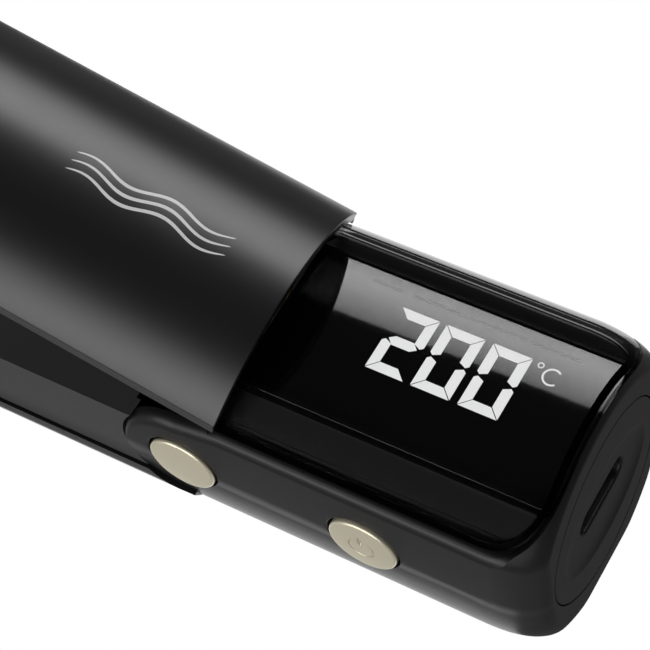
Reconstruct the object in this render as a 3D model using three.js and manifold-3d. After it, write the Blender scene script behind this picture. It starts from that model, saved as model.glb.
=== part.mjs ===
// Cordless two-arm hair styler, open at its hinge. Millimetres, +Z up.
//
// Every piece is drawn about the hinge axis: X runs along the styler from the tips (-X) to the
// charging end (+X), Y runs across it along the hinge pin, and Z = 0 is the height of the pin.
// The whole group is then moved so that the origin lies on the face that the styler rests on,
// in the middle of its length. The upper arm is drawn closed and turned open about the pin.
import * as THREE from "three";
import { mergeVertices } from "three/addons/utils/BufferGeometryUtils.js";
import Module from "manifold-3d";

const wasm = await Module();
wasm.setup();

// Fits and mesh fineness.
const GAP = 0.3; // between pieces that touch
const RUNNING_GAP = 0.1; // between the pin and what turns on it
const OVERCUT = 1; // how far a cutting solid runs past what it cuts
const FAR = 60; // beyond every piece, for cutting solids
const MERGE = 1e-4;
const ARC_STEPS = 12;
const ROUND_STEPS = 5;
const SMALL_SIDES = 20;
const LARGE_SIDES = 48;

// Handle: a round barrel with flat sides and a narrow flat underside.
const BARREL_R = 17.15;
const BARREL_Z = 1.08; // height of the barrel's centre above the pin
const HALF_WIDTH = 15;
const REST_Z = -15.5; // the flat underside
const TIP_X = -202;
const END_X = 43;
const END_ROUND = { along: 5.5, inward: 3 }; // the rounded edge at the charging end
const TIP_ROUND = { along: 7, inward: 6 };

// How far the upper arm stands open.
const OPEN_ANGLE = THREE.MathUtils.degToRad(14);

// Hinge: the housing's two ears, the pin, the upper arm's two lugs and their bushes.
const EAR_R = 7.7;
const EAR_TOP = 8.8;
const EAR_TOP_X = 5;
const BOSS_R = 5.6;
const BOSS_Y = 12; // inner face of an ear's boss
const BOSS_END = 14;
const PIN_R = 1.5;
const PIN_HALF = 13.8;
const LUG_IN = 8.4;
const LUG_OUT = 11.4;
const LUG_R = 5.2;
const BUSH_WALL = 0.6;
const DISC_R = 4.04; // hinge caps and power button
const DISC_FACE = 15.45;
const DISC_EDGE = 0.35;
const DISC_POCKET = 0.9; // depth of a hinge cap's recess

// Rear housing and its power button.
const WALL = 1.6;
const BULKHEAD_X = 6.2;
const BULKHEAD_T = 1.2;
const PASSAGE = { half: 5.4, y0: 4, y1: 8, z0: -8, z1: -4 }; // bulkhead holes: tongue and lead
const END_WALL_X = 41.4; // inner face of the end wall
const BUTTON_X = 22.45;

// Display under its clear dome.
const LENS_X0 = 5;
const LENS_X1 = 42.2;
const LENS_Z = 9.4; // lower edge of the dome
const LENS_CORNER = 5.1;
const LENS_T = 1.1;
const PANEL_HALF = 9.9;
const PANEL_Z = 12.1; // top of the bezel
const TRAY_END = 39.8;
const TRAY_FOOT = 10;
const TRAY_HALF = 12.1;
const GLASS = { x0: 6.8, x1: 40.8, half: 9.2 };
const GLASS_TOP = 12.88;

// Charging port and the cap round it.
const CAP_R = 11.6;
const FLANGE = { x0: 40.2, x1: 41.2, half: 12.4 };
const SLOT_Z = 1.83;
const SLOT_HALF = 4.92;
const SLOT_HIGH = 3.6;
const PORT_HALF = 4.47;
const PORT_HIGH = 3;
const PORT_WALL = 0.35;
const PORT_X0 = 34.2;
const PORT_X1 = 41.5;
const DISH = { x: 3.6, rx: 4, ry: 21.1, rz: 14.9, z: 1 };

// Boards and their four screws.
const BOARD_TOP = 8.4;
const BOARD_T = 1;
const POST_R = 2.3;
const POST_FOOT = -9.5;
const BOARD_HALF = 12.6;
const BOARD_SCREW_LENGTH = 5;
const POSTS = [
  [12, -10.4],
  [12, 10.4],
  [37, -10.4],
  [37, 10.4],
];

// The lower arm's tongue lies on the housing's floor, held by two screws from below.
const TONGUE = { x0: -14, x1: 12.4, half: 5, z0: -13.4, z1: -11.8 };
const ARM_SCREWS = [3.2, 9.8];
const SCREW = { r: 1, hole: 1.3, head: 1.7, headHole: 2.1, headT: 0.7 };

// Arms. The upper arm's shell is wider round than the barrel, so it slides over the dome.
const ARM_X0 = -192; // where the tip caps begin
const SKIN_T = 1.2;
const LOWER_SEAM = -5.44;
const LOWER_TOP = 5.2;
const BODY_HALF = 14.65;
const BODY_WALL = 1.25;
const SHELL_R = 18.5;
const SHELL_Z = 2.45;
const SHELL_END = 3.37;
const SHELL_T = 1.1;
const UPPER_SEAM = 13.22;
const UPPER_BOTTOM = 11.5;
const UPPER_HALF = 14.9;
const UPPER_END = 1;
const LIP_T = 0.4; // the thin edge that the body carries on below the shell's end

// Heated plates, each floating on two cushions.
const PLATE = { x0: -190, x1: -101, half: 12, t: 1.6, railIn: 8, railOut: 9.5, rail: 3.25 };
const SKIRT = { t: 1.2, deep: 4.2 }; // the plate's turned-down rim
const LOWER_FACE = 8.15;
const UPPER_FACE = 8.55;
const HEATER = { x0: -181, x1: -112, half: 7, t: 1.8 };
const CUSHIONS = [-184, -119];
const CUSHION = { length: 9, half: 9 };

// Battery in the lower arm, on two saddles.
const CELL = { x0: -84, x1: -19, r: 8, z: -5.4 };
const TERMINAL = { r: 2.6, high: 1.6 };
const SADDLES = [-76, -31];
const SADDLE = { length: 5, half: 11.5, top: -6 };

// Return spring: a coil round the pin with one end in the housing and one in the upper arm.
const SPRING = { wire: 0.45, r: 3, half: 6, turns: 5, perTurn: 10, steps: 70 };
const SPRING_FOOT_X = -7.3;
const SPRING_TIP_Z = 10.6;

// Small parts that are plain blocks: node, material, and [x0, x1, y0, y1, z0, z1].
const BLOCKS = [
  ["display_module", "chip", [13, 38, -6, 8, 9.7, 10.9]],
  ["power_transistor", "chip", [29.5, 33.5, -5, 1.5, 4.9, 7.1]],
  ["battery_connector", "ceramic", [8.6, 13.6, -3.2, 3.2, 3.4, 7.1]],
  ["button_board", "board", [16.5, 28.4, -9.6, -8.6, -5, 6.9]],
  ["charge_board", "board", [30, 39.8, -7.6, 7.6, -1.2, 0]],
];
const CAPACITOR = { r: 2.9, y: 3, z: 4.1, x0: 15, x1: 28 };
const SWITCH = { half: 3, y0: -11.2, y1: -9.9, plunger: 1.6, plungerY0: -11.6 };
const BOARD_X = [8, 40];

// Heater leads: the points that each one runs through.
const LEAD_R = 0.8;
const LOWER_LEAD = [
  [-109, 5, 4.5],
  [-99, 8, 1.6],
  [-86, 11.4, 1],
  [-60, 11.4, 1],
  [-18, 11, 0],
  [-12, 9, -4],
  [0, 6.4, -6.4],
  [10, 6, -6],
  [12, 5, 2.6],
];
const UPPER_LEAD = [
  [-107, 5, 14.3],
  [-101, 5.4, 15],
  [-96, 6, 15],
  [-60, 6, 15],
  [-4, 6, 14.4],
];

const MATERIALS = {
  housing: [0x1d1d1f, 0.48, 0],
  arm_skin: [0x2a2a2c, 0.38, 0],
  arm_body: [0x232325, 0.5, 0],
  dome: [0x1a1b1d, 0.06, 0],
  bezel: [0x060607, 0.2, 0],
  screen: [0x020203, 0.04, 0],
  gold: [0xc6bea0, 0.3, 1],
  steel: [0xb9bbbd, 0.3, 1],
  plate: [0x3b3634, 0.3, 0.6],
  ceramic: [0xe7e3da, 0.7, 0],
  rubber: [0x9a3a26, 0.8, 0],
  board: [0x11402a, 0.5, 0],
  chip: [0x161616, 0.5, 0],
  cell: [0x2f6f8f, 0.45, 0],
  cradle: [0x3a3a3c, 0.8, 0],
  brass: [0xb08a45, 0.35, 1],
  lead: [0xa02020, 0.5, 0],
};

// ---- Solids -------------------------------------------------------------------------------

const TO_X = new THREE.Matrix4().set(0, 0, 1, 0, 1, 0, 0, 0, 0, 1, 0, 0, 0, 0, 0, 1);
const TO_Y = new THREE.Matrix4().makeRotationX(Math.PI / 2);

function solid(geometry) {
  const bare = geometry.index ? geometry.toNonIndexed() : geometry.clone();
  bare.deleteAttribute("normal");
  bare.deleteAttribute("uv");
  const merged = mergeVertices(bare, MERGE);
  const vertProperties = merged.attributes.position.array;
  const triVerts = new Uint32Array(merged.index.array);
  return new wasm.Manifold(new wasm.Mesh({ numProp: 3, vertProperties, triVerts }));
}

function geometryOf(body) {
  const { vertProperties, triVerts } = body.getMesh();
  const geometry = new THREE.BufferGeometry();
  geometry.setAttribute("position", new THREE.BufferAttribute(vertProperties, 3));
  geometry.setIndex(new THREE.BufferAttribute(triVerts, 1));
  return geometry;
}

function box(x0, x1, y0, y1, z0, z1) {
  const geometry = new THREE.BoxGeometry(x1 - x0, y1 - y0, z1 - z0);
  geometry.translate((x0 + x1) / 2, (y0 + y1) / 2, (z0 + z1) / 2);
  return solid(geometry);
}

// A prism along X of an outline drawn in Y and Z.
function alongX(shape, x0, x1) {
  const geometry = new THREE.ExtrudeGeometry(shape, {
    depth: x1 - x0,
    curveSegments: ARC_STEPS,
    bevelEnabled: false,
  });
  geometry.applyMatrix4(TO_X);
  geometry.translate(x0, 0, 0);
  return solid(geometry);
}

// A prism across Y of an outline drawn in X and Z.
function alongY(shape, y0, y1) {
  const geometry = new THREE.ExtrudeGeometry(shape, {
    depth: y1 - y0,
    curveSegments: ARC_STEPS,
    bevelEnabled: false,
  });
  geometry.applyMatrix4(TO_Y);
  geometry.translate(0, y1, 0);
  return solid(geometry);
}

function rodX(radius, y, z, x0, x1, sides = SMALL_SIDES) {
  const geometry = new THREE.CylinderGeometry(radius, radius, x1 - x0, sides);
  geometry.rotateZ(-Math.PI / 2);
  geometry.translate((x0 + x1) / 2, y, z);
  return solid(geometry);
}

function rodY(radius, x, z, y0, y1, sides = SMALL_SIDES) {
  const geometry = new THREE.CylinderGeometry(radius, radius, y1 - y0, sides);
  geometry.translate(x, (y0 + y1) / 2, z);
  return solid(geometry);
}

function rodZ(radius, x, y, z0, z1, sides = SMALL_SIDES) {
  const geometry = new THREE.CylinderGeometry(radius, radius, z1 - z0, sides);
  geometry.rotateX(Math.PI / 2);
  geometry.translate(x, y, (z0 + z1) / 2);
  return solid(geometry);
}

// A round tube of wire through points, along a smooth curve.
function wire(points, radius, steps, sides) {
  const path = new THREE.CatmullRomCurve3(points.map((p) => new THREE.Vector3(...p)));
  const outline = new THREE.Shape().absarc(0, 0, radius, 0, 2 * Math.PI, false);
  return solid(
    new THREE.ExtrudeGeometry(outline, { extrudePath: path, steps, curveSegments: sides }),
  );
}

function unite(first, ...rest) {
  return rest.reduce((sum, next) => sum.add(next), first);
}

function cut(body, ...tools) {
  return tools.reduce((left, tool) => left.subtract(tool), body);
}

// ---- Outlines -----------------------------------------------------------------------------

// How far an edge has drawn in along X: [x, amount] pairs of an elliptical round that ends at x.
// side is 1 at the charging end and -1 at the tips.
function roundedEnd(x, side, { along, inward }) {
  const pairs = [];
  for (let i = 0; i <= ROUND_STEPS; i++) {
    const angle = (i / ROUND_STEPS) * (Math.PI / 2);
    pairs.push([x - side * along * (1 - Math.sin(angle)), inward * (1 - Math.cos(angle))]);
  }
  return side > 0 ? pairs : pairs.reverse();
}

// A round bar along X with flat sides and a flat underside. Its size follows run, a list of
// [x, amount drawn in] pairs.
function roundBar({ radius, z, half, floor }, run) {
  const first = run[0][0];
  const last = run[run.length - 1][0];
  const profile = [[0, first], ...run.map(([x, draw]) => [radius - draw, x]), [0, last]];
  const round = new THREE.LatheGeometry(profile.map((p) => new THREE.Vector2(...p)), LARGE_SIDES);
  round.rotateZ(-Math.PI / 2);
  round.translate(0, 0, z);
  const edge = (sign, size) => run.map(([x, draw]) => new THREE.Vector2(x, sign * (size - draw)));
  const plan = new THREE.Shape([...edge(-1, half), ...edge(1, half).reverse()]);
  const sides = new THREE.ExtrudeGeometry(plan, { depth: 2 * FAR, bevelEnabled: false });
  sides.translate(0, 0, -FAR);
  const side = [...edge(-1, -floor), new THREE.Vector2(last, FAR), new THREE.Vector2(first, FAR)];
  return solid(round).intersect(solid(sides)).intersect(alongY(new THREE.Shape(side), -FAR, FAR));
}

// The handle's section, drawn in on every side by inset.
const barrelSection = (inset) => ({
  radius: BARREL_R - inset,
  z: BARREL_Z,
  half: HALF_WIDTH - inset,
  floor: REST_Z + inset,
});

// A straight length of the handle's section.
const barrelPiece = (inset, x0, x1) => roundBar(barrelSection(inset), [[x0, 0], [x1, 0]]);

// The handle's section from x0 to x1, following the rounded edge of the charging end.
function barrel(inset, x0, x1) {
  const run = [[x0, 0], ...roundedEnd(END_X, 1, END_ROUND)];
  return roundBar(barrelSection(inset), run).intersect(box(x0, x1, -FAR, FAR, -FAR, FAR));
}

// The dome's outline from the side, grown by clearance, open upwards.
function lensOutline(x0, clearance) {
  const corner = LENS_X1 - LENS_CORNER;
  const shape = new THREE.Shape();
  shape.moveTo(x0, LENS_Z - clearance);
  shape.lineTo(corner, LENS_Z - clearance);
  shape.absarc(corner, LENS_Z + LENS_CORNER, LENS_CORNER + clearance, -Math.PI / 2, 0, false);
  shape.lineTo(LENS_X1 + clearance, FAR);
  shape.lineTo(x0, FAR);
  return shape;
}

// The housing from the side: ears round the pin, then everything up to the charging end.
function housingOutline() {
  const shape = new THREE.Shape();
  shape.moveTo(0, -FAR);
  shape.lineTo(END_X + OVERCUT, -FAR);
  shape.lineTo(END_X + OVERCUT, FAR);
  shape.lineTo(EAR_TOP_X + OVERCUT, FAR);
  shape.lineTo(EAR_TOP_X + OVERCUT, EAR_TOP + GAP);
  shape.lineTo(EAR_TOP_X, EAR_TOP);
  shape.absarc(0, 0, EAR_R, Math.PI / 2, (3 * Math.PI) / 2, false);
  return shape;
}

// One lug of the upper arm, closed, from the side.
function lugOutline() {
  const shape = new THREE.Shape();
  shape.moveTo(UPPER_END, UPPER_BOTTOM + SKIN_T / 2);
  shape.lineTo(-8, UPPER_BOTTOM + SKIN_T / 2);
  shape.absarc(0, 0, LUG_R, Math.PI * 0.91, Math.PI * 2.08, false);
  return shape;
}

function stadiumX(half, high, z, x0, x1) {
  const r = high / 2;
  const shape = new THREE.Shape();
  shape.absarc(half - r, z, r, -Math.PI / 2, Math.PI / 2, false);
  shape.absarc(r - half, z, r, Math.PI / 2, (3 * Math.PI) / 2, false);
  return alongX(shape, x0, x1);
}

// ---- Rear housing and display -------------------------------------------------------------

function rearHousing() {
  const bulkhead = BULKHEAD_X + BULKHEAD_T;
  const ribs = barrelPiece(WALL / 2, BULKHEAD_X, bulkhead);
  const top = BOARD_TOP - BOARD_T - GAP;
  const posts = POSTS.map(([x, y]) => rodZ(POST_R, x, y, POST_FOOT, top));
  const insides = [ribs, ...posts].map((rib) => rib.intersect(barrel(WALL / 2, -EAR_R, END_X)));
  const bosses = [-BOSS_END, BOSS_Y].map((y) => rodY(BOSS_R, 0, 0, y, y + BOSS_END - BOSS_Y));
  const hollow = cut(barrel(0, -2 * EAR_R, END_X), barrel(WALL, -3 * EAR_R, END_WALL_X));
  const body = unite(hollow, ...insides, ...bosses).intersect(
    alongY(housingOutline(), -FAR, FAR),
  );
  const pocket = HALF_WIDTH - DISC_POCKET;
  const hole = (...yz) => box(BULKHEAD_X - OVERCUT, bulkhead + OVERCUT, ...yz);
  return cut(
    body,
    alongY(lensOutline(EAR_TOP_X, GAP), -FAR, FAR),
    rodY(PIN_R + RUNNING_GAP, 0, 0, -FAR, FAR),
    rodY(DISC_R + GAP, 0, 0, -FAR, -pocket, LARGE_SIDES / 2),
    rodY(DISC_R + GAP, 0, 0, pocket, FAR, LARGE_SIDES / 2),
    rodY(DISC_R + GAP, BUTTON_X, 0, -FAR, -HALF_WIDTH + 2 * WALL, LARGE_SIDES / 2),
    rodX(CAP_R + GAP, 0, BARREL_Z, END_WALL_X - OVERCUT, FAR, LARGE_SIDES),
    hole(-PASSAGE.half, PASSAGE.half, TONGUE.z0 - GAP, TONGUE.z1 + GAP),
    hole(PASSAGE.y0, PASSAGE.y1, PASSAGE.z0, PASSAGE.z1),
    ...POSTS.map(([x, y]) => rodZ(SCREW.hole, x, y, BOARD_TOP - BOARD_SCREW_LENGTH - BOARD_T, FAR)),
    ...ARM_SCREWS.map((x) => rodZ(SCREW.hole, x, 0, REST_Z - OVERCUT, REST_Z + 2 * WALL)),
    ...ARM_SCREWS.map((x) => rodZ(SCREW.headHole, x, 0, REST_Z - OVERCUT, REST_Z + 1)),
  );
}

function displayLens() {
  const dome = barrel(0, LENS_X0, END_X).intersect(alongY(lensOutline(LENS_X0, 0), -FAR, FAR));
  return cut(dome, barrel(LENS_T, LENS_X0 - OVERCUT, END_X));
}

function displayBezel() {
  const shape = new THREE.Shape(
    [
      [-TRAY_HALF, TRAY_FOOT],
      [-11.4, TRAY_FOOT],
      [-9.4, 11.2],
      [9.4, 11.2],
      [11.4, TRAY_FOOT],
      [TRAY_HALF, TRAY_FOOT],
      [PANEL_HALF, PANEL_Z],
      [-PANEL_HALF, PANEL_Z],
    ].map(([y, z]) => new THREE.Vector2(y, z)),
  );
  const front = LENS_X0 + GAP;
  const tray = alongX(shape, front, TRAY_END);
  const inside = BARREL_R - LENS_T - GAP;
  const disk = rodX(inside, 0, BARREL_Z, front, front + 0.8, LARGE_SIDES);
  const wall = disk.intersect(box(-FAR, FAR, -12.9, 12.9, TRAY_FOOT, FAR));
  return cut(unite(tray, wall), box(8, TRAY_END - 0.8, -8.9, 8.9, 10.5, FAR));
}

function chargeEndCap() {
  const plug = rodX(CAP_R, 0, BARREL_Z, END_WALL_X - GAP, END_X, LARGE_SIDES);
  const disk = rodX(CAP_R + 1, 0, BARREL_Z, FLANGE.x0, FLANGE.x1, LARGE_SIDES);
  const flange = disk.intersect(box(0, FAR, -FLANGE.half, FLANGE.half, -FAR, PANEL_Z - GAP));
  const dish = new THREE.SphereGeometry(1, 32, 16);
  dish.scale(DISH.rx, DISH.ry, DISH.rz);
  dish.translate(END_X + DISH.x, 0, DISH.z);
  const slot = stadiumX(SLOT_HALF, SLOT_HIGH, SLOT_Z, 30, END_X + OVERCUT);
  return cut(unite(plug, flange), solid(dish), slot);
}

function controlBoard() {
  const board = box(...BOARD_X, -BOARD_HALF, BOARD_HALF, BOARD_TOP - BOARD_T, BOARD_TOP);
  return cut(board, ...POSTS.map(([x, y]) => rodZ(SCREW.hole, x, y, 0, FAR)));
}

// A pan-head screw standing on z, its shank pointing down by length, or up when turned.
function screw(x, y, z, length, turned) {
  const { r, head, headT } = SCREW;
  const outline = [
    [0, -length],
    [r, -length],
    [r, 0],
    [head, 0],
    [head, headT * 0.6],
    [head * 0.7, headT],
    [0, headT],
  ].map(([a, b]) => new THREE.Vector2(a, b));
  const geometry = new THREE.LatheGeometry(outline, SMALL_SIDES / 2);
  geometry.rotateX(turned ? -Math.PI / 2 : Math.PI / 2);
  geometry.translate(x, y, z);
  return solid(geometry);
}

function chargePort() {
  const can = stadiumX(PORT_HALF, PORT_HIGH, SLOT_Z, PORT_X0, PORT_X1);
  const mouth = stadiumX(
    PORT_HALF - PORT_WALL,
    PORT_HIGH - 2 * PORT_WALL,
    SLOT_Z,
    PORT_X0 + 1.2,
    PORT_X1 + OVERCUT,
  );
  return cut(can, mouth);
}

// A disc with a turned edge whose flat face looks out along -Y or +Y.
function disc(x, back, side) {
  const outline = [
    [0, back],
    [DISC_R, back],
    [DISC_R, DISC_FACE - DISC_EDGE],
    [DISC_R - DISC_EDGE, DISC_FACE],
    [0, DISC_FACE],
  ].map(([a, b]) => new THREE.Vector2(a, b));
  const geometry = new THREE.LatheGeometry(outline, LARGE_SIDES / 2);
  if (side < 0) geometry.rotateZ(Math.PI);
  geometry.translate(x, 0, 0);
  return solid(geometry);
}

function powerButton() {
  const flange = rodY(DISC_R + 1, BUTTON_X, 0, -13.1, -12.5, LARGE_SIDES / 2);
  const stem = rodY(1.2, BUTTON_X, 0, -12.6, -12.1);
  return unite(disc(BUTTON_X, 12.8, -1), flange, stem);
}

function powerSwitch() {
  const { half, y0, y1, plunger, plungerY0 } = SWITCH;
  const body = box(BUTTON_X - half, BUTTON_X + half, y0, y1, -half, half);
  return unite(body, rodY(plunger, BUTTON_X, 0, plungerY0, y0 + GAP));
}

// ---- Hinge --------------------------------------------------------------------------------

function returnSpring() {
  const { r: radius, half, turns, perTurn } = SPRING;
  const points = [[SPRING_FOOT_X, -half, -radius]];
  for (let i = 0; i <= turns * perTurn - 2; i++) {
    const angle = Math.PI * 1.5 + (i / perTurn) * 2 * Math.PI;
    const y = -half + (i / (turns * perTurn)) * 2 * half;
    points.push([radius * Math.cos(angle), y, radius * Math.sin(angle)]);
  }
  points.push([-radius, half, radius + 1], [-radius + 0.2, half, SPRING_TIP_Z]);
  return wire(points, SPRING.wire, SPRING.steps, 3);
}

function hingeBush(side) {
  const y = [side * (LUG_IN - 0.2), side * (LUG_OUT + 0.2)].sort((a, b) => a - b);
  const hole = PIN_R + RUNNING_GAP;
  return cut(rodY(hole + BUSH_WALL, 0, 0, ...y), rodY(hole, 0, 0, -FAR, FAR));
}

// ---- Lower arm ----------------------------------------------------------------------------

const earClearance = () => rodY(EAR_R + GAP, 0, 0, -FAR, FAR, LARGE_SIDES);

function lowerArmShell() {
  const skin = cut(
    barrelPiece(0, ARM_X0, -GAP),
    barrelPiece(SKIN_T, ARM_X0 - OVERCUT, OVERCUT),
  );
  return cut(skin, box(-FAR * 4, FAR, -FAR, FAR, LOWER_SEAM, FAR), earClearance());
}

function plateOpening(z0, z1) {
  const half = PLATE.half + 0.4;
  return box(PLATE.x0 - 0.2, PLATE.x1 + 0.2, -half, half, z0, z1);
}

function lowerArmBody() {
  const inner = BODY_HALF - BODY_WALL;
  const tray = cut(
    box(ARM_X0, 0, -BODY_HALF, BODY_HALF, LOWER_SEAM + GAP, LOWER_TOP),
    box(ARM_X0 + BODY_WALL, OVERCUT, -inner, inner, -FAR, LOWER_TOP - SKIN_T),
    plateOpening(0, FAR),
  );
  const shelf = box(ARM_X0 + 1, PLATE.x1 + 1, -inner - 0.5, inner + 0.5, -3, -1.4);
  const web = box(TONGUE.x0, -10, -6, 6, TONGUE.z0, LOWER_TOP - SKIN_T / 2);
  const tongue = box(TONGUE.x0, TONGUE.x1, -TONGUE.half, TONGUE.half, TONGUE.z0, TONGUE.z1);
  const holes = ARM_SCREWS.map((x) => rodZ(SCREW.hole, x, 0, -FAR, -10));
  return cut(
    unite(cut(unite(tray, web), earClearance()), shelf, tongue),
    ...holes,
  );
}

function lowerTipCap() {
  const run = [...roundedEnd(TIP_X, -1, TIP_ROUND), [ARM_X0 - GAP, 0]];
  const nose = roundBar(barrelSection(0), run).intersect(
    box(TIP_X - OVERCUT, ARM_X0, -FAR, FAR, -FAR, LOWER_TOP),
  );
  const guard = box(TIP_X + 2.5, ARM_X0 - GAP, -9, 9, LOWER_TOP - OVERCUT, LOWER_FACE - 0.6);
  return unite(nose, guard);
}

function batterySaddle(x) {
  const block = barrelPiece(SKIN_T + GAP, x, x + SADDLE.length).intersect(
    box(-FAR * 4, FAR, -SADDLE.half, SADDLE.half, -FAR, SADDLE.top),
  );
  return cut(block, rodX(CELL.r + GAP, 0, CELL.z, CELL.x0 - 1, CELL.x1 + 1, LARGE_SIDES / 2));
}

function batteryCell() {
  const { x0, x1, r, z } = CELL;
  const terminal = rodX(TERMINAL.r, 0, z, x1 - OVERCUT, x1 + TERMINAL.high);
  return unite(rodX(r, 0, z, x0, x1, 36), terminal);
}

// ---- Upper arm, drawn closed --------------------------------------------------------------

function upperArmShell() {
  const outer = rodX(SHELL_R, 0, SHELL_Z, ARM_X0, SHELL_END, LARGE_SIDES);
  const inner = rodX(SHELL_R - SHELL_T, 0, SHELL_Z, ARM_X0 - 1, SHELL_END + 1, LARGE_SIDES);
  return cut(outer, inner).intersect(box(-FAR * 4, FAR, -FAR, FAR, UPPER_SEAM, FAR));
}

function upperArmBody() {
  const floor = cut(
    box(ARM_X0, UPPER_END, -UPPER_HALF, UPPER_HALF, UPPER_BOTTOM, UPPER_SEAM - GAP),
    box(ARM_X0 + 1, -1, -UPPER_HALF + 2, UPPER_HALF - 2, UPPER_BOTTOM + SKIN_T, FAR),
    plateOpening(0, FAR),
  );
  const inside = rodX(SHELL_R - SHELL_T - GAP, 0, SHELL_Z, -2, -0.5, LARGE_SIDES).intersect(
    box(-FAR, FAR, -12.6, 12.6, UPPER_BOTTOM + 1, FAR),
  );
  const lips = [-UPPER_HALF, UPPER_HALF - LIP_T].map((y) =>
    box(-OVERCUT, SHELL_END - 0.2, y, y + LIP_T, UPPER_BOTTOM, UPPER_SEAM - GAP),
  );
  const rims = [-12.5, 11.5].map((y) => box(ARM_X0, -1, y, y + 1, UPPER_SEAM - 1, 14));
  const lugs = [-LUG_OUT, LUG_IN].map((y) => alongY(lugOutline(), y, y + LUG_OUT - LUG_IN));
  const hole = PIN_R + 2 * RUNNING_GAP + BUSH_WALL;
  const cleared = rims.map((rim) => cut(rim, plateOpening(0, FAR)));
  const body = unite(floor, inside, ...lips, ...cleared, ...lugs);
  return cut(body, rodY(hole, 0, 0, -FAR, FAR));
}

function upperTipCap() {
  const section = { radius: SHELL_R, z: SHELL_Z, half: HALF_WIDTH, floor: -FAR };
  const run = [...roundedEnd(TIP_X, -1, TIP_ROUND), [ARM_X0 - GAP, 0]];
  const nose = roundBar(section, run).intersect(
    box(TIP_X - OVERCUT, ARM_X0, -FAR, FAR, UPPER_BOTTOM, FAR),
  );
  const guard = box(TIP_X + 2.5, ARM_X0 - GAP, -9, 9, UPPER_FACE + 0.6, UPPER_BOTTOM + OVERCUT);
  return unite(nose, guard);
}

// ---- Heated plates ------------------------------------------------------------------------

// A plate whose face is at z and whose rails stand behind it; up is 1 when they point to +Z.
function heatedPlate(z, up) {
  const { x0, x1, half, t, railIn, railOut, rail } = PLATE;
  const layer = (from, to) => [z + up * from, z + up * to].sort((a, b) => a - b);
  const rails = [-railOut, railIn].map((y) =>
    box(x0 + 4, x1 - 4, y, y + railOut - railIn, ...layer(t - 0.2, t + rail)),
  );
  const inner = half - SKIRT.t;
  const tray = cut(
    box(x0, x1, -half, half, ...layer(0, SKIRT.deep)),
    box(x0 + SKIRT.t, x1 - SKIRT.t, -inner, inner, ...layer(t, SKIRT.deep + OVERCUT)),
  );
  return unite(tray, ...rails);
}

function behindPlate(z, up, near, depth, x0, x1, half) {
  const from = z + up * near;
  const to = from + up * depth;
  return box(x0, x1, -half, half, Math.min(from, to), Math.max(from, to));
}

// ---- The assembly -------------------------------------------------------------------------

const materials = Object.fromEntries(
  Object.entries(MATERIALS).map(([key, [color, roughness, metalness]]) => [
    key,
    () => new THREE.MeshStandardMaterial({ color, roughness, metalness }),
  ]),
);

function addTo(group, name, material, body) {
  const mesh = new THREE.Mesh(geometryOf(body), materials[material]());
  mesh.name = name;
  group.add(mesh);
}

function addPlateSet(group, arm, face, up) {
  const heater = PLATE.t + GAP;
  const cushion = PLATE.t + PLATE.rail + GAP;
  const depth = up > 0 ? 2.6 : 4.1;
  addTo(group, `${arm}_plate`, "plate", heatedPlate(face, up));
  const { x0, x1, half, t } = HEATER;
  addTo(group, `${arm}_heater`, "ceramic", behindPlate(face, up, heater, t, x0, x1, half));
  addTo(group, `${arm}_thermistor`, "chip", behindPlate(face, up, heater, 1, -110, -106, 1.6));
  CUSHIONS.forEach((x, i) => {
    const pad = behindPlate(face, up, cushion, depth, x, x + CUSHION.length, CUSHION.half);
    addTo(group, `${arm}_cushion_${i + 1}`, "rubber", pad);
  });
}

const styler = new THREE.Group();
const handle = new THREE.Group();
const upperArm = new THREE.Group();
styler.position.set(-(TIP_X + END_X) / 2, 0, -REST_Z);
upperArm.rotation.y = OPEN_ANGLE;
styler.add(handle, upperArm);

addTo(handle, "rear_housing", "housing", rearHousing());
addTo(handle, "display_lens", "dome", displayLens());
addTo(handle, "display_bezel", "bezel", displayBezel());
addTo(
  handle,
  "display_glass",
  "screen",
  box(GLASS.x0, GLASS.x1, -GLASS.half, GLASS.half, PANEL_Z + GAP, GLASS_TOP),
);
addTo(handle, "charge_end_cap", "housing", chargeEndCap());
addTo(handle, "power_button", "gold", powerButton());

addTo(handle, "control_board", "board", controlBoard());
POSTS.forEach(([x, y], i) => {
  addTo(handle, `board_screw_${i + 1}`, "steel", screw(x, y, BOARD_TOP + GAP / 3, BOARD_SCREW_LENGTH));
});
addTo(
  handle,
  "capacitor",
  "cell",
  rodX(CAPACITOR.r, CAPACITOR.y, CAPACITOR.z, CAPACITOR.x0, CAPACITOR.x1),
);
BLOCKS.forEach(([name, material, corners]) => addTo(handle, name, material, box(...corners)));
addTo(handle, "power_switch", "steel", powerSwitch());
addTo(handle, "charge_port", "steel", chargePort());
addTo(
  handle,
  "port_tongue",
  "chip",
  box(PORT_X0 + 1.5, PORT_X1 - 1.2, -3.3, 3.3, SLOT_Z - GAP, SLOT_Z + GAP),
);

addTo(handle, "hinge_pin", "steel", rodY(PIN_R, 0, 0, -PIN_HALF, PIN_HALF));
addTo(handle, "hinge_cap_near", "gold", disc(0, PIN_HALF + 2 * GAP, -1));
addTo(handle, "hinge_cap_far", "gold", disc(0, PIN_HALF + 2 * GAP, 1));
addTo(handle, "return_spring", "steel", returnSpring());

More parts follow.
